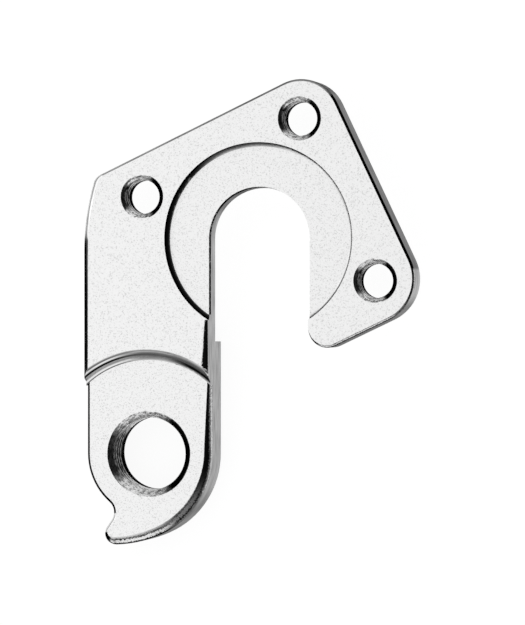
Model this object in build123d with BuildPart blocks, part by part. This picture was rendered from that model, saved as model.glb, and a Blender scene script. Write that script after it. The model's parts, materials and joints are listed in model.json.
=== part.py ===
"""Bicycle derailleur hanger.

One aluminium plate bolts flat against the outer face of the frame's dropout, with three M5
screws that come through the frame from inboard. The plate runs around the open axle slot,
and its leg reaches down and back to a thick M10 x 1 boss that carries the rear derailleur,
with a recessed seat and a stop tab for the derailleur's B-tension screw.

Frame: the origin is the axle centre on the plate's inboard face, +Z points outboard, and
+Y points up along the axle slot. Lengths are in millimetres and angles in degrees.
"""

import os
from math import cos, radians, sin, sqrt

from build123d import *

# Plate and its three frame screws
plate_thickness = 4.0
screw_square = 22.0
screw_square_turn = 25.4
screw_minor_diameter = 4.2
screw_rim_diameter = 5.45
top_margin = 4.8
outer_margin = 5.0
top_ear_radius = 5.0
front_ear_radius = 5.5
shoulder_corner_radius = 1.6
back_edge_radius = 29.0
back_edge_top = -1.3

# Axle slot and the round recess for the axle nut's washer
slot_width = 12.6
washer_recess_diameter = 23.6
washer_recess_depth = 1.0
washer_recess_corner = 0.5
slot_tip_radius = 2.3

# Broken edge of the slot at the recess floor, wider at the upper rear than at the front
slot_break = 0.04
slot_break_shift = 0.03
slot_break_depth = 0.8

# Derailleur thread, a given distance from the axle and angle behind the vertical
derailleur_reach = 30.1
derailleur_angle = 28.0
derailleur_minor_diameter = 9.0
derailleur_rim_diameter = 10.6

# Leg: recessed seat in front, boss behind, outline around the derailleur thread
seat_recess = 1.4
boss_depth = 3.5
boss_edge_round = 0.45
seat_radius = 11.6
boss_over_seat = 2.3
step_root_round = 0.5
step_crest_round = 0.75
step_slope = 70.0
shank_radius = 7.98
shank_sweep = 49.4
notch_radius = 1.63
notch_sweep = 83.9
tab_flank = 1.1
tab_radius = 1.4
sole_radius = 15.5
sole_sweep = 21.7
heel_sweep = 66.0

# Rounding of the outboard rim: how far it comes in on the face, and how deep it reaches
rim_inset = 0.28
back_rim_inset = 0.6
rim_depth = 0.45
leg_rim_depth = 1.0
leg_back_inset = 0.45
leg_tab_inset = 0.8
leg_sole_inset = 0.75
leg_heel_inset = 0.8
leg_top_inset = 0.15
rim_steps = 4

# Rounding of the neck's front edge at the seat, and the share of it left at the recess
neck_round_width = 1.3
neck_round_depth = 0.5
neck_round_start = 0.35

# How far a cutting shape runs past the face it opens
cut_clearance = 1.0

# Places that follow from the sizes
slot_half = slot_width / 2
seat_height = plate_thickness - seat_recess
cut_top = plate_thickness + cut_clearance
cut_side = cut_clearance - slot_half
derailleur_x = -derailleur_reach * sin(radians(derailleur_angle))
derailleur_y = -derailleur_reach * cos(radians(derailleur_angle))
back_edge_x = derailleur_x - shank_radius
boss_top = derailleur_y + seat_radius + boss_over_seat
neck_foot = (boss_top + derailleur_y) / 2
recess_floor = plate_thickness - washer_recess_depth
slot_break_side = slot_half + slot_break + slot_break_shift
slot_break_foot = -sqrt((washer_recess_diameter / 2 - washer_recess_corner) ** 2 - slot_break_side**2)
neck_round_top = -sqrt((washer_recess_diameter / 2) ** 2 - slot_half**2)
tab_sweep = 180 - shank_sweep + notch_sweep - sole_sweep - heel_sweep
riser_height = seat_recess - (step_root_round + step_crest_round) * (1 - cos(radians(step_slope)))
riser_length = riser_height / sin(radians(step_slope))


def turned(u: float, v: float) -> tuple[float, float]:
    """A point of the screw square's own axes, in the part's frame."""
    turn = radians(screw_square_turn)
    return u * cos(turn) - v * sin(turn), u * sin(turn) + v * cos(turn)


def rim_levels(top: float, depth: float) -> list[tuple[float, float]]:
    """Height, and share of the inset, for each level of a rounded rim below a face."""
    angles = [radians(90 * step / rim_steps) for step in range(rim_steps + 1)]
    return [(top - depth * (1 - sin(angle)), 1 - cos(angle)) for angle in angles]


def plate_profile(height: float, share: float) -> Sketch:
    """Plate outline: a square turned with the screws, a neck below it and the open slot."""
    inset = rim_inset * share
    edge_x = back_edge_x + back_rim_inset * share
    screw_line = screw_square / 2
    right_u = screw_line + outer_margin - inset
    beyond = 2 * right_u
    top_v = screw_line + top_margin - inset
    low_v = -screw_line - outer_margin + inset
    tip_y = (low_v + slot_half * sin(radians(screw_square_turn))) / cos(radians(screw_square_turn))
    with BuildSketch(Plane.XY.offset(height)) as profile:
        with Locations(turned((right_u - beyond) / 2, (top_v + low_v) / 2)):
            Rectangle(right_u + beyond, top_v - low_v, rotation=screw_square_turn)
        with Locations((edge_x, 0)):
            Rectangle(-slot_half - edge_x, -neck_foot, align=(Align.MIN, Align.MAX))
        with BuildLine():
            back_edge = Line((edge_x, neck_foot), (edge_x, back_edge_top))
            brow = JernArc(back_edge @ 1, back_edge % 1, back_edge_radius, -45)
            above = ((brow @ 1).X, beyond)
            Polyline(brow @ 1, above, (beyond, beyond), (beyond, neck_foot), back_edge @ 0)
        make_face(mode=Mode.INTERSECT)
        with Locations((0, 0)):
            Circle(slot_half, mode=Mode.SUBTRACT)
            Rectangle(slot_width, -2 * neck_foot, align=(Align.CENTER, Align.MAX), mode=Mode.SUBTRACT)
        for corner, radius in (
            (turned(right_u, top_v), top_ear_radius - inset),
            (turned(right_u, low_v), front_ear_radius - inset),
            (turned(-right_u, top_v), shoulder_corner_radius),
            ((slot_half, tip_y), slot_tip_radius),
        ):
            fillet(profile.vertices().sort_by_distance(corner)[0], radius)
    return profile.sketch


def leg_profile(height: float, share: float) -> Sketch:
    """Leg outline: down the back, around the notch, stop tab and sole, and up the front."""
    edge_x = back_edge_x + leg_back_inset * share
    front_x = -slot_half - leg_heel_inset * share
    with BuildSketch(Plane.XY.offset(height)) as profile:
        with BuildLine():
            back = Line((edge_x, boss_top), (edge_x, derailleur_y))
            shank = JernArc(back @ 1, back % 1, shank_radius - leg_back_inset * share, shank_sweep)
            notch = JernArc(shank @ 1, shank % 1, notch_radius + leg_back_inset * share, -notch_sweep)
            flank = Line(notch @ 1, (notch @ 1) + (notch % 1) * tab_flank)
            tab = JernArc(flank @ 1, flank % 1, tab_radius - leg_tab_inset * share, tab_sweep)
            sole = JernArc(tab @ 1, tab % 1, sole_radius - leg_sole_inset * share, sole_sweep)
            heel_radius = (front_x - (sole @ 1).X) / (1 - cos(radians(heel_sweep)))
            heel = JernArc(sole @ 1, sole % 1, heel_radius, heel_sweep)
            Polyline(heel @ 1, (-slot_half - leg_top_inset * share, boss_top), back @ 0)
        make_face()
    return profile.sketch


# Plate, rounded over at its outboard rim
with BuildPart() as plate:
    add(plate_profile(0, 0))
    for level_height, level_share in rim_levels(plate_thickness, rim_depth):
        add(plate_profile(level_height, level_share))
    loft(ruled=True)

# Leg from the back of the boss to the seat, with a rounder rim at the heel and sole
with BuildPart() as leg:
    add(leg_profile(-boss_depth, 0))
    for level_height, level_share in rim_levels(seat_height, leg_rim_depth):
        add(leg_profile(level_height, level_share))
    loft(ruled=True)
    fillet(leg.faces().sort_by(Axis.Z)[0].edges(), boss_edge_round)

# Space in front of the seat, with a rounded crest and root where it meets the plate
with BuildPart() as seat_relief:
    with BuildSketch(Plane((derailleur_x, derailleur_y, 0), x_dir=(1, 0, 0), z_dir=(0, -1, 0))):
        with BuildLine():
            floor_line = Line((0, seat_height), (seat_radius, seat_height))
            root = JernArc(floor_line @ 1, (1, 0), step_root_round, step_slope)
            riser = Line(root @ 1, (root @ 1) + (root % 1) * riser_length)
            crest = JernArc(riser @ 1, riser % 1, step_crest_round, -step_slope)
            Polyline(crest @ 1, (crest @ 1) + (0, cut_clearance), (0, cut_top), floor_line @ 0)
        make_face()
    revolve(axis=Axis((derailleur_x, derailleur_y, 0), (0, 0, 1)))

# Round recess that the axle nut's washer seats in
with BuildPart() as washer_recess:
    with Locations((0, 0, plate_thickness)):
        Cylinder(washer_recess_diameter / 2, 2 * washer_recess_depth)
    fillet(washer_recess.edges().group_by(Axis.Z)[0], washer_recess_corner)

# Steep bevel that breaks the slot's edge, from its foot on the slot wall (share 0) up to the
# recess floor (share 1), and cut a share further at both ends
with BuildPart() as slot_bevel:
    for share in (-1, 2):
        shift = slot_break_shift * share
        half = slot_half + slot_break * share
        with BuildSketch(Plane((-shift, shift, recess_floor + (share - 1) * slot_break_depth))):
            Circle(half)
            Rectangle(2 * half, shift - slot_break_foot, align=(Align.CENTER, Align.MAX))
    loft(ruled=True)

# Rounding of the neck's front edge, growing from the recess down to the seat
with BuildPart() as neck_rounding:
    for section_y, share in ((neck_round_top, neck_round_start), (neck_foot, 1)):
        with BuildSketch(Plane((0, section_y, 0), x_dir=(1, 0, 0), z_dir=(0, -1, 0))):
            with BuildLine():
                inner = (-slot_half - neck_round_width * share, plate_thickness)
                lower = (-slot_half, plate_thickness - neck_round_depth * share)
                Bezier(inner, (-slot_half, plate_thickness), lower)
                Polyline(lower, (cut_side, lower[1]), (cut_side, cut_top), (inner[0], cut_top), inner)
            make_face()
    loft(ruled=True)

# Hanger: plate and leg as one forging, then its seat, recess and threaded holes
with BuildPart() as hanger:
    add(plate.part)
    with Locations((derailleur_x, derailleur_y, 0)):
        Cylinder(seat_radius, 2 * cut_top, mode=Mode.SUBTRACT)
    add(seat_relief.part, mode=Mode.SUBTRACT)
    add(neck_rounding.part, mode=Mode.SUBTRACT)
    add(leg.part)
    add(washer_recess.part, mode=Mode.SUBTRACT)
    add(slot_bevel.part, mode=Mode.SUBTRACT)
    screw_points = [turned(*point) for point in (
        (-screw_square / 2, screw_square / 2),
        (screw_square / 2, screw_square / 2),
        (screw_square / 2, -screw_square / 2),
    )]
    for points, minor, rim, front, back in (
        (screw_points, screw_minor_diameter, screw_rim_diameter, plate_thickness, 0),
        ([(derailleur_x, derailleur_y)], derailleur_minor_diameter, derailleur_rim_diameter,
         seat_height, -boss_depth),
    ):
        for x, y in points:
            with Locations((x, y, front)):
                CounterSinkHole(minor / 2, rim / 2, counter_sink_angle=90)
            with Locations(Location((x, y, back), (180, 0, 0))):
                CounterSinkHole(minor / 2, rim / 2, counter_sink_angle=90)

hanger.part.label = "hanger"
os.makedirs("parts", exist_ok=True)
export_step(hanger.part, "parts/hanger.step")
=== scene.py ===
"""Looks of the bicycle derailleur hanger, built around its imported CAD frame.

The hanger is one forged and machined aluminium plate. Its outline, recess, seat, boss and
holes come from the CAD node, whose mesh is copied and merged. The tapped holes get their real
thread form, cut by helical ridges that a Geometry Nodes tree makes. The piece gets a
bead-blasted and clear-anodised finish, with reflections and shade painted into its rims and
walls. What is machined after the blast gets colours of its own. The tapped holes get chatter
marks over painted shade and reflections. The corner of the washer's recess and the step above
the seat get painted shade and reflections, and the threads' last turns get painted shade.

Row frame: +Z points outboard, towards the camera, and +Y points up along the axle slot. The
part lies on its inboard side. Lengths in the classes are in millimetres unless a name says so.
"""

import json
import logging
import math
from collections.abc import Mapping, Sequence
from dataclasses import dataclass, field
from enum import Enum

import bmesh
import bpy
from mathutils import Matrix, Vector

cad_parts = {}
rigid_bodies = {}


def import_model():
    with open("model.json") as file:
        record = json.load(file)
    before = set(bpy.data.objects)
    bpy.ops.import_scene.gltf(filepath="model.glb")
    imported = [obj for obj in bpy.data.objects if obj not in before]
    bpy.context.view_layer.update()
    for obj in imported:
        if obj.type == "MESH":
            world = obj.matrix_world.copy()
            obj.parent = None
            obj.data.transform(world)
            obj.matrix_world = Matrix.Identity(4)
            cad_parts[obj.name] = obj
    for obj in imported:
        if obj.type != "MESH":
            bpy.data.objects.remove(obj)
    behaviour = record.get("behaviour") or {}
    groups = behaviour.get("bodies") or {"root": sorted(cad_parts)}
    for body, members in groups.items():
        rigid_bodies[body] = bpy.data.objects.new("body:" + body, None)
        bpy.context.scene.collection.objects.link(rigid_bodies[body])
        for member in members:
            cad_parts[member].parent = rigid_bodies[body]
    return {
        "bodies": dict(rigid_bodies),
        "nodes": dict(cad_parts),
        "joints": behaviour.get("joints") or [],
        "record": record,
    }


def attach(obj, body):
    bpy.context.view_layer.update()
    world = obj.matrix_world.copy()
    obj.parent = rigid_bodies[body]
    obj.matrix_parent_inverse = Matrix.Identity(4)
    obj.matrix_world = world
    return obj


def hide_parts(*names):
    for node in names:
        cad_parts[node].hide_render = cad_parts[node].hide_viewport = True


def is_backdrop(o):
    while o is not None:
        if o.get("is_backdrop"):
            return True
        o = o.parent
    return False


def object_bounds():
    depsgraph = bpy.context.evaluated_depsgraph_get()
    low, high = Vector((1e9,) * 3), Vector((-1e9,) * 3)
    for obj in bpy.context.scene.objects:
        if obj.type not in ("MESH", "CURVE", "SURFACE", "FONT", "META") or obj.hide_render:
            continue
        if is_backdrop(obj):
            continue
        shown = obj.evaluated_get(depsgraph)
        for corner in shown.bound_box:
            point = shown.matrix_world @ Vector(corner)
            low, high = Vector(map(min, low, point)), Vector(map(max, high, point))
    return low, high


MM = 0.001
NODE = "hanger"
BODY = "root"
# Name of the layer in which Blender keeps how strongly a face leads the shading, and the
# value of a strong one
STRENGTH_LAYER = "__mod_weightednormals_faceweight"
STRONG = 16384

log = logging.getLogger("hanger")


def linear(hex_code: str) -> tuple[float, float, float, float]:
    """Turn an sRGB hex colour into Blender's linear colour.

    Args:
        hex_code: six hex digits with a leading #, as read off the finish.

    Returns:
        Linear red, green, blue and an alpha of 1.
    """
    channels = (int(hex_code[start:start + 2], 16) / 255 for start in (1, 3, 5))
    red, green, blue = (
        c / 12.92 if c <= 0.04045 else ((c + 0.055) / 1.055) ** 2.4 for c in channels
    )
    return red, green, blue, 1.0


def add_node(
    tree: bpy.types.NodeTree,
    kind: str,
    settings: Mapping[str, object] | None = None,
    inputs: Mapping[str | int, object] | None = None,
) -> bpy.types.Node:
    """Add one node with its settings, its constants and its links.

    Args:
        tree: shader or geometry tree that takes the node.
        kind: Blender's class name of the node.
        settings: attributes of the node by name.
        inputs: for each input, by name or number, a constant or the socket that feeds it.

    Returns:
        The new node.
    """
    node = tree.nodes.new(kind)
    for name, value in (settings or {}).items():
        setattr(node, name, value)
    for key, value in (inputs or {}).items():
        if isinstance(value, bpy.types.NodeSocket):
            tree.links.new(value, node.inputs[key])
        else:
            node.inputs[key].default_value = value
    return node


class Thread(Enum):
    """ISO metric threads of the hanger: major diameter and pitch."""

    M5 = (5.0, 0.8)
    M10 = (10.0, 1.0)

    @property
    def major(self) -> float:
        """Major diameter in millimetres."""
        return self.value[0]

    @property
    def pitch(self) -> float:
        """Pitch in millimetres."""
        return self.value[1]


@dataclass
class ThreadCutter:
    """Helical ridge that cuts the groove of one internal thread.

    The ridge is an ISO 60 degree profile: as wide as the groove is at the minor diameter, and
    an eighth of the pitch wide at the major diameter. It starts a little inside the bore, so
    that no face of it lies in the bore's wall.
    """

    thread: Thread
    minor: float
    segments: int = 72
    crest_share: float = 1 / 8
    mouth_share: float = 3 / 4
    root_overlap: float = 0.08
    flank_angle: float = 30.0

    def tree(self) -> bpy.types.NodeTree:
        """Build the Geometry Nodes tree of a helical ridge.

        Returns:
            Tree with named inputs for its radii, pitch, length and material.
        """
        tree = bpy.data.node_groups.new(f"{self.thread.name}_ridge", "GeometryNodeTree")
        face = tree.interface
        for name, kind in (
            ("Inner Radius", "NodeSocketFloat"),
            ("Outer Radius", "NodeSocketFloat"),
            ("Inner Half Width", "NodeSocketFloat"),
            ("Outer Half Width", "NodeSocketFloat"),
            ("Pitch", "NodeSocketFloat"),
            ("Turns", "NodeSocketFloat"),
            ("Segments", "NodeSocketInt"),
            ("Material", "NodeSocketMaterial"),
        ):
            face.new_socket(name, in_out="INPUT", socket_type=kind)
        face.new_socket("Geometry", in_out="OUTPUT", socket_type="NodeSocketGeometry")
        given = add_node(tree, "NodeGroupInput").outputs
        height = add_node(
            tree,
            "ShaderNodeMath",
            {"operation": "MULTIPLY"},
            {0: given["Pitch"], 1: given["Turns"]},
        )
        helix = add_node(
            tree,
            "GeometryNodeCurveSpiral",
            None,
            {
                "Resolution": given["Segments"],
                "Rotations": given["Turns"],
                "Start Radius": given["Inner Radius"],
                "End Radius": given["Inner Radius"],
                "Height": height.outputs[0],
            },
        )
        upright = add_node(
            tree, "GeometryNodeSetCurveNormal", {"mode": "Z_UP"}, {"Curve": helix.outputs[0]}
        )
        reach = add_node(
            tree,
            "ShaderNodeMath",
            {"operation": "SUBTRACT"},
            {0: given["Outer Radius"], 1: given["Inner Radius"]},
        )
        corners = []
        for side, away in ((1, 0), (1, 1), (-1, 1), (-1, 0)):
            half = given["Outer Half Width"] if away else given["Inner Half Width"]
            offset = add_node(
                tree, "ShaderNodeMath", {"operation": "MULTIPLY"}, {0: half, 1: float(side)}
            )
            radial = add_node(
                tree,
                "ShaderNodeMath",
                {"operation": "MULTIPLY"},
                {0: reach.outputs[0], 1: float(away)},
            )
            corners.append(
                add_node(
                    tree,
                    "ShaderNodeCombineXYZ",
                    None,
                    {"X": offset.outputs[0], "Y": radial.outputs[0]},
                ).outputs[0]
            )
        profile = add_node(
            tree,
            "GeometryNodeCurvePrimitiveQuadrilateral",
            {"mode": "POINTS"},
            {f"Point {number}": corner for number, corner in enumerate(corners, 1)},
        )
        ridge = add_node(
            tree,
            "GeometryNodeCurveToMesh",
            None,
            {
                "Curve": upright.outputs[0],
                "Profile Curve": profile.outputs[0],
                "Fill Caps": True,
            },
        )
        real = add_node(
            tree, "GeometryNodeRealizeInstances", None, {"Geometry": ridge.outputs[0]}
        )
        dressed = add_node(
            tree,
            "GeometryNodeSetMaterial",
            None,
            {"Geometry": real.outputs[0], "Material": given["Material"]},
        )
        add_node(tree, "NodeGroupOutput", None, {"Geometry": dressed.outputs[0]})
        return tree

    def build(
        self, x: float, y: float, low: float, high: float, finish: bpy.types.Material
    ) -> bpy.types.Object:
        """Make the ridge for one hole, one turn longer than the hole at both ends.

        Args:
            x: hole's centre in the row frame.
            y: hole's centre in the row frame.
            low: height where the tapped length begins.
            high: height where it ends.
            finish: material that the cut faces take.

        Returns:
            Object with a plain closed mesh, in metres, in the row frame.
        """
        pitch = self.thread.pitch
        inner = self.minor / 2 - self.root_overlap
        widening = self.root_overlap * math.tan(math.radians(self.flank_angle))
        values = {
            "Inner Radius": inner * MM,
            "Outer Radius": self.thread.major / 2 * MM,
            "Inner Half Width": (self.mouth_share * pitch / 2 + widening) * MM,
            "Outer Half Width": self.crest_share * pitch / 2 * MM,
            "Pitch": pitch * MM,
            "Turns": (high - low) / pitch + 2,
            "Segments": self.segments,
            "Material": finish,
        }
        holder = bpy.data.objects.new(f"{self.thread.name}_ridge", bpy.data.meshes.new("ridge"))
        bpy.context.collection.objects.link(holder)
        modifier = holder.modifiers.new("ridge", "NODES")
        modifier.node_group = self.tree()
        for item in modifier.node_group.interface.items_tree:
            if item.in_out == "INPUT":
                modifier[item.identifier] = values[item.name]
        bpy.context.view_layer.update()
        graph = bpy.context.evaluated_depsgraph_get()
        mesh = bpy.data.meshes.new_from_object(holder.evaluated_get(graph))
        bpy.data.objects.remove(holder)
        mesh.transform(Matrix.Translation((x * MM, y * MM, (low - pitch) * MM)))
        ridge = bpy.data.objects.new(f"{self.thread.name}_ridge", mesh)
        bpy.context.collection.objects.link(ridge)
        return ridge


@dataclass(frozen=True)
class Facing:
    """How the rims and walls that turn one way look.

    The stops give the colour, which is painted reflection and shade, by how far a surface has
    turned from face (0) to wall (1). The facing starts to count where that share of a surface's
    sideways tilt points its way, and counts fully at the second share.
    """

    way: tuple[float, float, float]
    start: float
    full: float
    stops: tuple[tuple[float, str], ...]


@dataclass(frozen=True)
class Aluminium:
    """Forged 6061 aluminium, machined, bead-blasted and clear-anodised.

    To the eye: pale silver faces with a soft, even sheen and a fine grain of darker dimples.
    Tumbling has rubbed the rims smooth. Painted reflection and shade show them as crisp dark
    lines, with a painted bright streak along the ones that turn downwards, and make the walls
    greyer. The walls have faint cutter marks.
    """

    name: str = "blasted_aluminium_and_painted_shade"
    face_colour: str = "#EDEDED"
    dimple_colour: str = "#C6C6C6"
    # Painted reflections and shade of the rims and walls that turn no particular way, such as the
    # heel's, and then of the ones that turn down, up, to the front and to the rear, the brow above
    # the straight rear edge, the shoulder above the brow, and the sloping front edge. Later ones
    # go over earlier ones
    plain: tuple[tuple[float, str], ...] = (
        (0.06, "#808080"), (0.10, "#303030"), (0.15, "#404040"), (0.22, "#7C7C7C"),
        (0.40, "#808080"), (0.47, "#0C0C0C"), (0.62, "#0C0C0C"), (0.69, "#6C6C6C"),
        (0.88, "#747474"), (0.92, "#101010"), (0.97, "#101010"), (0.985, "#747474"),
    )
    facings: tuple[Facing, ...] = (
        Facing((0, -1, 0), 0.76, 0.95, (
            (0.06, "#C8C8C8"), (0.16, "#A0A0A0"), (0.22, "#303030"), (0.29, "#303030"),
            (0.34, "#FFFFFF"), (0.52, "#FFFFFF"), (0.60, "#8C8C8C"), (0.68, "#060606"),
            (0.965, "#0C0C0C"), (0.985, "#585858"),
        )),
        Facing((0, 1, 0), 0.55, 0.80, (
            (0.10, "#C0C0C0"), (0.50, "#707070"), (0.90, "#606060"), (0.93, "#181818"),
            (0.97, "#181818"), (0.985, "#484848"),
        )),
        Facing((1, 0, 0), 0.75, 0.99, (
            (0.10, "#101010"), (0.56, "#101010"), (0.66, "#4C4C4C"), (0.76, "#7C7C7C"),
            (0.84, "#A8A8A8"), (0.88, "#E0E0E0"), (0.91, "#E0E0E0"), (0.925, "#040404"),
            (0.97, "#040404"), (0.985, "#959595"),
        )),
        Facing((-1, 0, 0), 0.25, 0.60, (
            (0.03, "#181818"), (0.15, "#080808"), (0.965, "#040404"), (0.985, "#959595"),
        )),
        Facing((-0.961, 0.276, 0), 0.968, 0.985, ((0.08, "#FFFFFF"), (0.98, "#C0C0C0"))),
        Facing((-0.750, 0.661, 0), 0.900, 0.960, ((0.08, "#FFFFFF"), (0.98, "#C0C0C0"))),
        Facing((0.903, 0.429, 0), 0.965, 0.985, (
            (0.08, "#080808"), (0.96, "#080808"), (0.985, "#747474"),
        )),
    )
    # Turn at which a face ends, and turn at which its rim's painted reflection and shade are full
    face_end: float = 0.012
    rim_full: float = 0.045
    # How strongly the dimples roughen the border lines of the colours
    ragged: float = 3.0
    # A rim painted dark stays dark where it is seen at a slant, and one painted bright brightens:
    # how far the mirroring there grows with the painted colour
    slant_gain: float = 3.2
    face_roughness: float = 0.36
    rim_roughness: float = 0.28
    # Blasting beads of about 0.17 mm leave dimples of that size and 0.004 mm deep. Where the
    # grain is low a dimple shows its own colour, and above the high value the face's
    dimple_size: float = 0.17
    dimple_depth: float = 0.004
    dimple_relief: float = 0.5
    dimple_low: float = 0.26
    dimple_high: float = 0.50
    # Cutter marks run along the outline, about 3 mm long and 0.35 mm wide, from a little
    # darker than the wall where their noise is low to a little lighter where it is high
    mark_length: float = 3.0
    mark_width: float = 0.35
    mark_low: float = 0.35
    mark_high: float = 0.62
    mark_dark: float = 0.80
    mark_light: float = 1.08
    # Where the stops go outwards over a turned ring instead: its axis and its two radii in mm
    ring: tuple[float, float, float, float] | None = None

    def build(self) -> bpy.types.Material:
        """Build the material.

        Returns:
            Material of faces, and of rims and walls with painted reflections and shade, told apart
            by how the surface is turned.
        """
        material = bpy.data.materials.new(self.name)
        material.use_nodes = True
        tree = material.node_tree
        tree.nodes.clear()
        normal = add_node(tree, "ShaderNodeNewGeometry").outputs["Normal"]
        share = add_node(tree, "ShaderNodeSeparateXYZ", None, {0: normal}).outputs
        place = add_node(tree, "ShaderNodeTexCoord").outputs["Object"]
        grain = add_node(
            tree,
            "ShaderNodeTexNoise",
            None,
            {
                "Vector": place,
                "Scale": 1 / (self.dimple_size * MM),
                "Detail": 2.0,
                "Roughness": 0.6,
            },
        ).outputs[0]
        turn = self.roughened(tree, self.turned(tree, share["Z"]), grain)
        level = turn if self.ring is None else self.ring_share(tree, place)
        rim = self.marked(tree, self.rims(tree, level, share["X"], share["Y"]), place)
        # Share of the rims' painted reflections and shade over the faces' colour
        painted_rim_share = add_node(
            tree,
            "ShaderNodeMapRange",
            {"interpolation_type": "SMOOTHSTEP"},
            {"Value": turn, "From Min": self.face_end, "From Max": self.rim_full},
        ).outputs[0]
        colour = add_node(
            tree,
            "ShaderNodeMix",
            {"data_type": "RGBA"},
            {0: painted_rim_share, 6: self.blasted(tree, grain), 7: rim},
        ).outputs[2]
        roughness = add_node(
            tree,
            "ShaderNodeMapRange",
            None,
            {"Value": painted_rim_share, "To Min": self.face_roughness, "To Max": self.rim_roughness},
        ).outputs[0]
        relief = add_node(
            tree,
            "ShaderNodeBump",
            None,
            {
                "Strength": self.dimple_relief,
                "Distance": self.dimple_depth * MM,
                "Height": grain,
            },
        ).outputs[0]
        slant = add_node(
            tree,
            "ShaderNodeMath",
            {"operation": "MULTIPLY", "use_clamp": True},
            {0: colour, 1: self.slant_gain},
        ).outputs[0]
        shader = add_node(
            tree,
            "ShaderNodeBsdfPrincipled",
            None,
            {
                "Base Color": colour,
                "Metallic": 1.0,
                "Specular Tint": slant,
                "Roughness": roughness,
                "Normal": relief,
            },
        )
        add_node(tree, "ShaderNodeOutputMaterial", None, {"Surface": shader.outputs[0]})
        return material

    def turned(
        self, tree: bpy.types.NodeTree, upward: bpy.types.NodeSocket
    ) -> bpy.types.NodeSocket:
        """Find how far a surface has turned from face to wall.

        Args:
            tree: the material's tree.
            upward: the normal's share along Z.

        Returns:
            Turn from 0 on a face to 1 on a wall, outboard and inboard alike.
        """
        facing = add_node(tree, "ShaderNodeMath", {"operation": "ABSOLUTE"}, {0: upward})
        angle = add_node(
            tree, "ShaderNodeMath", {"operation": "ARCCOSINE"}, {0: facing.outputs[0]}
        )
        return add_node(
            tree,
            "ShaderNodeMath",
            {"operation": "MULTIPLY"},
            {0: angle.outputs[0], 1: 2 / math.pi},
        ).outputs[0]

    def blasted(
        self, tree: bpy.types.NodeTree, grain: bpy.types.NodeSocket
    ) -> bpy.types.NodeSocket:
        """Colour the faces, with their darker dimples.

        Args:
            tree: the material's tree.
            grain: height of the dimples, around 0.5.

        Returns:
            Colour of the faces.
        """
        between = add_node(
            tree,
            "ShaderNodeMapRange",
            {"interpolation_type": "SMOOTHSTEP"},
            {"Value": grain, "From Min": self.dimple_low, "From Max": self.dimple_high},
        ).outputs[0]
        return add_node(
            tree,
            "ShaderNodeMix",
            {"data_type": "RGBA"},
            {0: between, 6: linear(self.dimple_colour), 7: linear(self.face_colour)},
        ).outputs[2]

    def rims(
        self,
        tree: bpy.types.NodeTree,
        level: bpy.types.NodeSocket,
        across: bpy.types.NodeSocket,
        along: bpy.types.NodeSocket,
    ) -> bpy.types.NodeSocket:
        """Paint reflections and shade into the rims and walls by where they face.

        Args:
            tree: the material's tree.
            level: share from 0 to 1 that the bands go by.
            across: the normal's share along X.
            along: the normal's share along Y.

        Returns:
            Painted reflections and shade of the rims and walls, without marks.
        """
        flat = add_node(tree, "ShaderNodeCombineXYZ", None, {"X": across, "Y": along}).outputs[0]
        tilt = add_node(
            tree, "ShaderNodeVectorMath", {"operation": "NORMALIZE"}, {0: flat}
        ).outputs[0]
        rim = self.banded(tree, level, self.plain)
        for facing in self.facings:
            shade = self.banded(tree, level, facing.stops)
            share = add_node(
                tree,
                "ShaderNodeVectorMath",
                {"operation": "DOT_PRODUCT"},
                {0: tilt, 1: facing.way},
            ).outputs["Value"]
            count = add_node(
                tree,
                "ShaderNodeMapRange",
                {"interpolation_type": "SMOOTHSTEP"},
                {"Value": share, "From Min": facing.start, "From Max": facing.full},
            ).outputs[0]
            rim = add_node(
                tree, "ShaderNodeMix", {"data_type": "RGBA"}, {0: count, 6: rim, 7: shade}
            ).outputs[2]
        return rim

    def banded(
        self,
        tree: bpy.types.NodeTree,
        level: bpy.types.NodeSocket,
        stops: tuple[tuple[float, str], ...],
    ) -> bpy.types.NodeSocket:
        """Paint the reflections and shade of the rims and walls in bands.

        Args:
            tree: the material's tree.
            level: share from 0 to 1 that the bands go by.
            stops: share and colour of each stop.

        Returns:
            Colour of the bands.
        """
        ramp = add_node(tree, "ShaderNodeValToRGB", None, {"Fac": level})
        elements = ramp.color_ramp.elements
        for element, (position, colour) in zip(elements, (stops[0], stops[-1])):
            element.position, element.color = position, linear(colour)
        for position, colour in stops[1:-1]:
            elements.new(position).color = linear(colour)
        return ramp.outputs["Color"]

    def roughened(
        self, tree: bpy.types.NodeTree, turn: bpy.types.NodeSocket, grain: bpy.types.NodeSocket
    ) -> bpy.types.NodeSocket:
        """Let the dimples move the turn a little, but not on faces (0) and walls (1).

        Args:
            tree: the material's tree.
            turn: how far the surface has turned from face to wall.
            grain: height of the dimples, around 0.5.

        Returns:
            The turn with its ragged share.
        """
        share = add_node(
            tree, "ShaderNodeMath", {"operation": "MULTIPLY_ADD"}, {0: turn, 1: -1.0, 2: 1.0}
        ).outputs[0]
        bow = add_node(tree, "ShaderNodeMath", {"operation": "MULTIPLY"}, {0: turn, 1: share})
        sway = add_node(
            tree,
            "ShaderNodeMath",
            {"operation": "MULTIPLY_ADD"},
            {0: grain, 1: self.ragged, 2: -self.ragged / 2},
        ).outputs[0]
        return add_node(
            tree,
            "ShaderNodeMath",
            {"operation": "MULTIPLY_ADD", "use_clamp": True},
            {0: bow.outputs[0], 1: sway, 2: turn},
        ).outputs[0]

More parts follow.
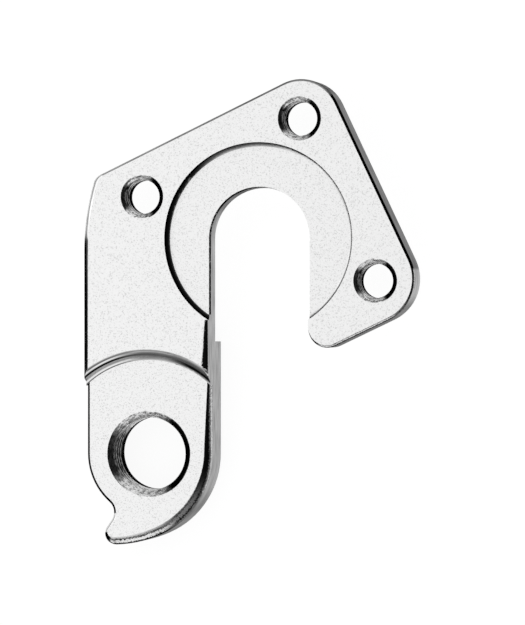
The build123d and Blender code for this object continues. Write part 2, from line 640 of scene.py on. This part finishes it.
    def ring_share(
        self, tree: bpy.types.NodeTree, place: bpy.types.NodeSocket
    ) -> bpy.types.NodeSocket:
        """Find how far out over the finish's ring a point is.

        Args:
            tree: the material's tree.
            place: object coordinates.

        Returns:
            Share from 0 at the inner radius to 1 at the outer one.
        """
        x, y, inner, outer = self.ring
        flat = add_node(
            tree,
            "ShaderNodeVectorMath",
            {"operation": "MULTIPLY"},
            {0: place, 1: (1.0, 1.0, 0.0)},
        ).outputs[0]
        away = add_node(
            tree,
            "ShaderNodeVectorMath",
            {"operation": "DISTANCE"},
            {0: flat, 1: (x * MM, y * MM, 0.0)},
        ).outputs["Value"]
        return add_node(
            tree,
            "ShaderNodeMapRange",
            None,
            {"Value": away, "From Min": inner * MM, "From Max": outer * MM},
        ).outputs[0]

    def marked(
        self, tree: bpy.types.NodeTree, rim: bpy.types.NodeSocket, place: bpy.types.NodeSocket
    ) -> bpy.types.NodeSocket:
        """Draw the cutter marks over the colour of the rims and walls.

        Args:
            tree: the material's tree.
            rim: colour of the rims and walls.
            place: object coordinates.

        Returns:
            The colour with the marks in it.
        """
        squeezed = add_node(
            tree,
            "ShaderNodeVectorMath",
            {"operation": "MULTIPLY"},
            {0: place, 1: (self.mark_width / self.mark_length,) * 2 + (1.0,)},
        ).outputs[0]
        marks = add_node(
            tree,
            "ShaderNodeTexNoise",
            None,
            {"Vector": squeezed, "Scale": 1 / (self.mark_width * MM), "Detail": 1.0},
        ).outputs[0]
        light = add_node(
            tree,
            "ShaderNodeMapRange",
            None,
            {
                "Value": marks,
                "From Min": self.mark_low,
                "From Max": self.mark_high,
                "To Min": self.mark_dark,
                "To Max": self.mark_light,
            },
        ).outputs[0]
        return add_node(
            tree,
            "ShaderNodeMix",
            {"data_type": "RGBA", "blend_type": "MULTIPLY"},
            {0: 1.0, 6: rim, 7: light},
        ).outputs[2]


# Tapped holes: the tap and the countersink cut after the blast, so they have no dimples, and
# the tap chattered, which leaves light streaks on a hole's rear side, which faces the front.
# Painted shade and reflections make a hole's mouth and thread dark grey on that side, black on
# its front side, and light grey at the top and bottom. The thread's flanks have turned by 0.33,
# the countersink by 0.5
TAPPED = Aluminium(
    name="tapped_aluminium",
    dimple_colour="#EDEDED",
    plain=(
        (0.10, "#D0D0D0"), (0.28, "#686868"), (0.38, "#686868"), (0.44, "#EEEEEE"),
        (0.80, "#DCDCDC"), (0.97, "#A8A8A8"),
    ),
    facings=(
        Facing((1, 0, 0), 0.62, 0.92, (
            (0.10, "#303030"), (0.28, "#1C1C1C"), (0.38, "#1C1C1C"), (0.44, "#343434"),
            (0.56, "#343434"), (0.80, "#585858"), (0.97, "#707070"),
        )),
        Facing((-1, 0, 0), 0.30, 0.60, ((0.10, "#101010"), (0.97, "#101010"))),
    ),
    mark_length=0.5,
    mark_width=0.22,
    mark_dark=0.45,
    mark_light=1.45,
)

# Last turns of each thread, deep in the hole: painted shade, one black line along its inner edge
THREAD_END_SHADE = Aluminium(
    name="thread_end_painted_shade",
    plain=((0.10, "#101010"), (0.97, "#101010")),
    facings=(),
)

# Corner of the washer's recess: a ball-nosed cutter left it smooth. Its black line, grey at the
# top, is painted reflection and shade
RECESS_CORNER_SHADE = Aluminium(
    name="recess_corner_painted_shade",
    plain=((0.08, "#404040"), (0.30, "#161616"), (0.97, "#161616")),
    facings=(
        Facing((0, -1, 0), 0.70, 0.97, (
            (0.08, "#A0A0A0"), (0.40, "#606060"), (0.80, "#484848"), (0.97, "#303030"),
        )),
        Facing((-1, 0, 0), 0.10, 0.50, (
            (0.08, "#E4E4E4"), (0.30, "#D0D0D0"), (0.44, "#202020"), (0.97, "#202020"),
        )),
    ),
)

# Step from the seat up to the plate, turned with the seat: its band of bright and dark lines,
# crisp at the rear and running together towards the front, is painted reflections and shade
STEP_REFLECTIONS = Aluminium(
    name="step_painted_reflections",
    plain=(
        (0.00, "#D0D0D0"), (0.06, "#B0B0B0"), (0.20, "#989898"), (0.36, "#A8A8A8"),
        (0.42, "#787878"), (0.62, "#747474"), (0.70, "#8A8A8A"), (0.79, "#C0C0C0"),
        (0.87, "#808080"), (0.95, "#B8B8B8"),
    ),
    facings=(
        Facing((1, 0, 0), 0.05, 0.40, (
            (0.00, "#707070"), (0.09, "#505050"), (0.14, "#FFFFFF"), (0.23, "#FFFFFF"),
            (0.28, "#C8C8C8"), (0.45, "#BCBCBC"), (0.48, "#242424"), (0.59, "#242424"),
            (0.64, "#F8F8F8"), (0.73, "#F8F8F8"), (0.78, "#6C6C6C"), (0.87, "#707070"),
            (0.95, "#C0C0C0"),
        )),
        Facing((-1, 0, 0), 0.15, 0.45, (
            (0.00, "#D8D8D8"), (0.05, "#A0A0A0"), (0.14, "#707070"), (0.20, "#202020"),
            (0.27, "#202020"), (0.34, "#4C4C4C"), (0.50, "#686868"), (0.68, "#686868"),
            (0.77, "#7C7C7C"), (0.86, "#989898"), (0.95, "#BCBCBC"),
        )),
    ),
    ring=(-14.13, -26.58, 11.60, 12.99),
)


# Inner radius of a zone that has no hole in its middle
WHOLE = -1.0


@dataclass(frozen=True)
class Zone:
    """Ring around an upright axis whose faces have a finish of their own, in millimetres."""

    x: float
    y: float
    inner: float
    outer: float
    low: float
    high: float

    def holds(self, corner: Vector) -> bool:
        """Tell whether a corner, in millimetres, is in the ring."""
        away = math.hypot(corner.x - self.x, corner.y - self.y)
        return self.inner < away < self.outer and self.low < corner.z < self.high


@dataclass
class Hanger:
    """The hanger itself: the CAD node's mesh, with its threads cut and its finish on."""

    finish: Aluminium = field(default_factory=Aluminium)
    tapped: Aluminium = TAPPED
    # Painted shade over each thread's last turns
    end_shade: Aluminium = THREAD_END_SHADE
    # Corner of the washer's recess, with painted reflection and shade
    recess_corner: Zone = Zone(0.0, 0.0, 11.25, 11.85, 2.95, 4.05)
    recess_shade: Aluminium = RECESS_CORNER_SHADE
    # Step above the seat, with painted reflections and shade
    seat_step: Zone = Zone(-14.13, -26.58, 11.55, 13.05, 2.55, 4.05)
    step_reflections: Aluminium = STEP_REFLECTIONS
    # Corners closer than this are one, and edges between faces flatter than this are dissolved
    weld_distance: float = 0.0005
    flat_angle: float = 0.2
    # Edges sharper than this stay sharp
    sharp_angle: float = 28.0
    # Share of a normal along Z below which a face is a wall, which meets its rim crisply
    wall_limit: float = 0.008
    # Share above which it is a flat face
    flat_limit: float = 0.9999
    # How far a tapped hole's countersink may reach past the thread's major radius, and how far
    # its zone goes past its ends
    mouth_margin: float = 0.4
    end_margin: float = 1.0
    # Where the painted shade over a thread's last turns begins above its inboard end, and how many
    # turns it covers
    end_start: float = 0.3
    end_turns: float = 2.2

    def merged_copy(self, node: bpy.types.Object) -> bpy.types.Object:
        """Copy the CAD node and join its loose triangles into a closed mesh.

        Args:
            node: the CAD node's object.

        Returns:
            New object at the origin with the merged mesh.
        """
        mesh = node.data.copy()
        shape = bmesh.new()
        shape.from_mesh(mesh)
        shape.transform(node.matrix_world)
        bmesh.ops.remove_doubles(shape, verts=shape.verts, dist=self.weld_distance * MM)
        bmesh.ops.dissolve_limit(
            shape, angle_limit=math.radians(self.flat_angle), verts=shape.verts, edges=shape.edges
        )
        shape.to_mesh(mesh)
        shape.free()
        mesh.materials.clear()
        body = bpy.data.objects.new("hanger_body", mesh)
        bpy.context.collection.objects.link(body)
        return body

    def cut_threads(
        self, body: bpy.types.Object, mounts: list[dict], tapped: bpy.types.Material
    ) -> list[Zone]:
        """Cut every tapped hole's real thread into the body, and give its walls their finish.

        Args:
            body: merged copy of the node.
            mounts: the record's mounts, of which the threaded holes are tapped.
            tapped: finish of the holes' walls, mouths and threads.

        Returns:
            The zone of each thread's last turns, above the mouth in the inboard side, which gets
            painted shade.
        """
        body.data.materials.append(tapped)
        holes, ends = [], []
        for mount in mounts:
            if mount["kind"] != "threaded_hole":
                continue
            minor = 2 * mount["dims"]["r_mm"]
            thread = min(Thread, key=lambda size: abs(size.major - size.pitch - minor))
            x, y, _ = (value / MM for value in mount["pos_m"])
            reach = thread.major / 2 + self.mouth_margin
            heights = [
                corner.co.z / MM for corner in body.data.vertices
                if math.hypot(corner.co.x / MM - x, corner.co.y / MM - y) < reach
            ]
            low, high = min(heights), max(heights)
            self.subtract(body, ThreadCutter(thread, minor).build(x, y, low, high, tapped))
            margin = self.end_margin
            holes.append(Zone(x, y, WHOLE, reach, low - margin, high + margin))
            start = low + self.end_start
            ends.append(Zone(x, y, WHOLE, reach, start, start + self.end_turns * thread.pitch))
            log.info("%s: %s thread from %.2f to %.2f mm", mount["name"], thread.name, low, high)
        self.crease(body)
        self.dress(body, holes, tapped)
        return ends

    def dress(
        self, body: bpy.types.Object, zones: Sequence[Zone], finish: bpy.types.Material
    ) -> None:
        """Give the faces that lie wholly in one of some zones a finish.

        Args:
            body: body with the faces.
            zones: rings that the faces lie in.
            finish: their material, which gets a slot of its own if it has none.
        """
        mesh = body.data
        if finish.name not in mesh.materials:
            mesh.materials.append(finish)
        slot = mesh.materials.find(finish.name)
        for zone in zones:
            inside = [zone.holds(corner.co / MM) for corner in mesh.vertices]
            for face in mesh.polygons:
                if all(inside[index] for index in face.vertices):
                    face.material_index = slot

    def subtract(self, body: bpy.types.Object, cutter: bpy.types.Object) -> None:
        """Take a closed cutter out of the body's mesh, and delete the cutter.

        Args:
            body: object whose mesh is replaced by the cut one.
            cutter: closed object that is used up.
        """
        modifier = body.modifiers.new("cut", "BOOLEAN")
        modifier.operation = "DIFFERENCE"
        modifier.solver = "EXACT"
        modifier.material_mode = "TRANSFER"
        modifier.object = cutter
        graph = bpy.context.evaluated_depsgraph_get()
        cut = bpy.data.meshes.new_from_object(body.evaluated_get(graph))
        body.modifiers.remove(modifier)
        old, body.data = body.data, cut
        bpy.data.meshes.remove(old)
        bpy.data.objects.remove(cutter)

    def crease(self, body: bpy.types.Object) -> None:
        """Mark as sharp each edge with a sharp angle, and those of the walls and the threads.

        Args:
            body: body whose cut faces already have the tapped finish, and no others.
        """
        mesh = body.data
        mesh.shade_smooth()
        mesh.set_sharp_from_angle(angle=math.radians(self.sharp_angle))
        kinds = {}
        for face in mesh.polygons:
            kind = (face.material_index, abs(face.normal.z) < self.wall_limit)
            for key in face.edge_keys:
                kinds.setdefault(key, set()).add(kind)
        for edge in mesh.edges:
            if len(kinds[edge.key]) > 1:
                edge.use_edge_sharp = True

    def smooth(self, body: bpy.types.Object) -> None:
        """Keep flat faces flat beside the rounded ones, and leave sharp edges alone.

        Args:
            body: finished body, whose flat faces lead the shading of the rims beside them.
        """
        strength = body.data.attributes.new(STRENGTH_LAYER, "INT", "FACE")
        for face in body.data.polygons:
            if abs(face.normal.z) > self.flat_limit:
                strength.data[face.index].value = STRONG
        weighted = body.modifiers.new("weighted_normals", "WEIGHTED_NORMAL")
        weighted.mode = "CORNER_ANGLE"
        weighted.keep_sharp = True
        weighted.use_face_influence = True

    def build(self, frame: Mapping[str, object]) -> bpy.types.Object:
        """Make the finished piece and put it in its node's place.


        Returns:
            The piece that stands for the CAD node.
        """
        body = self.merged_copy(frame["nodes"][NODE])
        body.data.materials.append(self.finish.build())
        ends = self.cut_threads(body, frame["record"]["mounts"], self.tapped.build())
        # Paint shade over the threads' last turns, and shade and reflections into the recess's
        # corner and the seat's step
        for zones, finish in (
            (ends, self.end_shade),
            ((self.recess_corner,), self.recess_shade),
            ((self.seat_step,), self.step_reflections),
        ):
            self.dress(body, zones, finish.build())
        self.smooth(body)
        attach(body, BODY)
        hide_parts(NODE)
        log.info("hanger: %d faces", len(body.data.polygons))
        return body


@dataclass
class Camera:
    """The photograph's camera: square to the plate, moved towards its front edge."""

    target: tuple[float, float, float] = (0.61, -9.08, 4.0)
    yaw: float = 12.6
    distance: float = 450.0
    # Scale of the photograph at the target, and its height
    pixels_per_mm: float = 8.165
    image_height: int = 625
    sensor: float = 36.0
    clip_start: float = 10.0

    def build(self) -> bpy.types.Object:
        """Create the camera and make it the scene's own.

        Returns:
            The camera object.
        """
        data = bpy.data.cameras.new("camera")
        data.sensor_width = self.sensor
        data.lens = self.pixels_per_mm * self.distance * self.sensor / self.image_height
        data.clip_start = self.clip_start * MM
        camera = bpy.data.objects.new("camera", data)
        bpy.context.collection.objects.link(camera)
        yaw = math.radians(self.yaw)
        back = Vector((math.sin(yaw), 0, math.cos(yaw)))
        right = Vector((math.cos(yaw), 0, -math.sin(yaw)))
        turn = Matrix((right, back.cross(right), back)).transposed()
        place = Vector(self.target) + self.distance * back
        camera.matrix_world = Matrix.Translation(place * MM) @ turn.to_4x4()
        bpy.context.scene.camera = camera
        return camera


@dataclass
class Studio:
    """Pale floor, a bright tent above it and a dim room around, as for a product picture."""

    floor_half: float = 4000.0
    floor_colour: str = "#F4F4F4"
    # Share of white light in what the camera and mirrorings see of the floor, and its strength.
    # The rest is the paper itself, which keeps the part's shadow
    glow_share: float = 0.85
    glow: float = 1.08
    # Strength of the tent in its middle
    overhead: float = 1.17
    # The tent is brighter to the left: share that its light falls off by to the right
    falloff: float = 0.80
    # Strength of the room
    room: float = 0.42
    # White cards lighten the room on the side that the part's leg points to and on the far
    # side. The first counts fully, and the second starts, where this share of a direction
    # points their way
    card: float = 1.0
    far_card: float = 1.25
    card_share: float = 0.5
    # Share of a direction that points up where the room ends and the tent is fully bright
    room_top: float = 0.55
    tent_low: float = 0.80

    def floor(self, height: float) -> bpy.types.Object:
        """Lay the floor that the part rests on.

        Args:
            height: the part's lowest point, in millimetres.

        Returns:
            The floor, declared as stage.
        """
        half = self.floor_half
        corners = [
            (x * half * MM, y * half * MM, height * MM)
            for x, y in ((-1, -1), (1, -1), (1, 1), (-1, 1))
        ]
        mesh = bpy.data.meshes.new("floor")
        mesh.from_pydata(corners, [], [(0, 1, 2, 3)])
        material = bpy.data.materials.new("white_paper")
        material.use_nodes = True
        tree = material.node_tree
        tree.nodes.clear()
        path = add_node(tree, "ShaderNodeLightPath").outputs
        seen = path["Is Camera Ray"]
        for other in ("Is Glossy Ray", "Is Transmission Ray"):
            seen = add_node(
                tree, "ShaderNodeMath", {"operation": "MAXIMUM"}, {0: seen, 1: path[other]}
            ).outputs[0]
        share = add_node(
            tree, "ShaderNodeMath", {"operation": "MULTIPLY"}, {0: seen, 1: self.glow_share}
        ).outputs[0]
        paper = add_node(tree, "ShaderNodeBsdfDiffuse", None, {"Color": linear(self.floor_colour)})
        glow = add_node(tree, "ShaderNodeEmission", None, {"Strength": self.glow})
        mix = add_node(
            tree,
            "ShaderNodeMixShader",
            None,
            {0: share, 1: paper.outputs[0], 2: glow.outputs[0]},
        )
        add_node(tree, "ShaderNodeOutputMaterial", None, {"Surface": mix.outputs[0]})
        mesh.materials.append(material)
        floor = bpy.data.objects.new("floor", mesh)
        bpy.context.collection.objects.link(floor)
        floor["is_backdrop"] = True
        return floor

    def sky(self) -> None:
        """Light the scene by a bright tent overhead, with the dim room below its edge."""
        world = bpy.data.worlds.new("studio")
        world.use_nodes = True
        tree = world.node_tree
        tree.nodes.clear()
        way = add_node(tree, "ShaderNodeTexCoord").outputs["Generated"]
        share = add_node(tree, "ShaderNodeSeparateXYZ", None, {0: way}).outputs
        far = add_node(
            tree,
            "ShaderNodeMapRange",
            {"interpolation_type": "SMOOTHSTEP"},
            {
                "Value": share["Y"],
                "From Min": self.card_share,
                "From Max": 1.0,
                "To Min": self.room,
                "To Max": self.far_card,
            },
        ).outputs[0]
        room = add_node(
            tree,
            "ShaderNodeMapRange",
            {"interpolation_type": "SMOOTHSTEP"},
            {
                "Value": share["Y"],
                "From Min": -self.card_share,
                "From Max": 0.0,
                "To Min": self.card,
                "To Max": far,
            },
        ).outputs[0]
        tent = add_node(
            tree,
            "ShaderNodeMapRange",
            None,
            {
                "Value": share["X"],
                "From Min": -1.0,
                "From Max": 1.0,
                "To Min": self.overhead * (1 + self.falloff),
                "To Max": self.overhead * (1 - self.falloff),
            },
        ).outputs[0]
        level = add_node(
            tree,
            "ShaderNodeMapRange",
            {"interpolation_type": "SMOOTHSTEP"},
            {
                "Value": share["Z"],
                "From Min": self.room_top,
                "From Max": self.tent_low,
                "To Min": room,
                "To Max": tent,
            },
        ).outputs[0]
        light = add_node(tree, "ShaderNodeBackground", None, {"Strength": level})
        add_node(tree, "ShaderNodeOutputWorld", None, {"Surface": light.outputs[0]})
        bpy.context.scene.world = world

    def build(self, height: float) -> None:
        """Build the floor and the light.

        Args:
            height: the part's lowest point, in millimetres.
        """
        self.floor(height)
        self.sky()
        bpy.context.scene.view_settings.view_transform = "Standard"


def main() -> None:
    """Build the hanger, the studio and the camera, with the floor at the part's lowest point."""
    logging.basicConfig(level=logging.INFO, format="%(name)s %(message)s")
    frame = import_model()
    cad_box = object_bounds()
    Camera().build()
    Hanger().build(frame)
    Studio().build(cad_box[0][2] / MM)


if __name__ == "__main__":
    main()
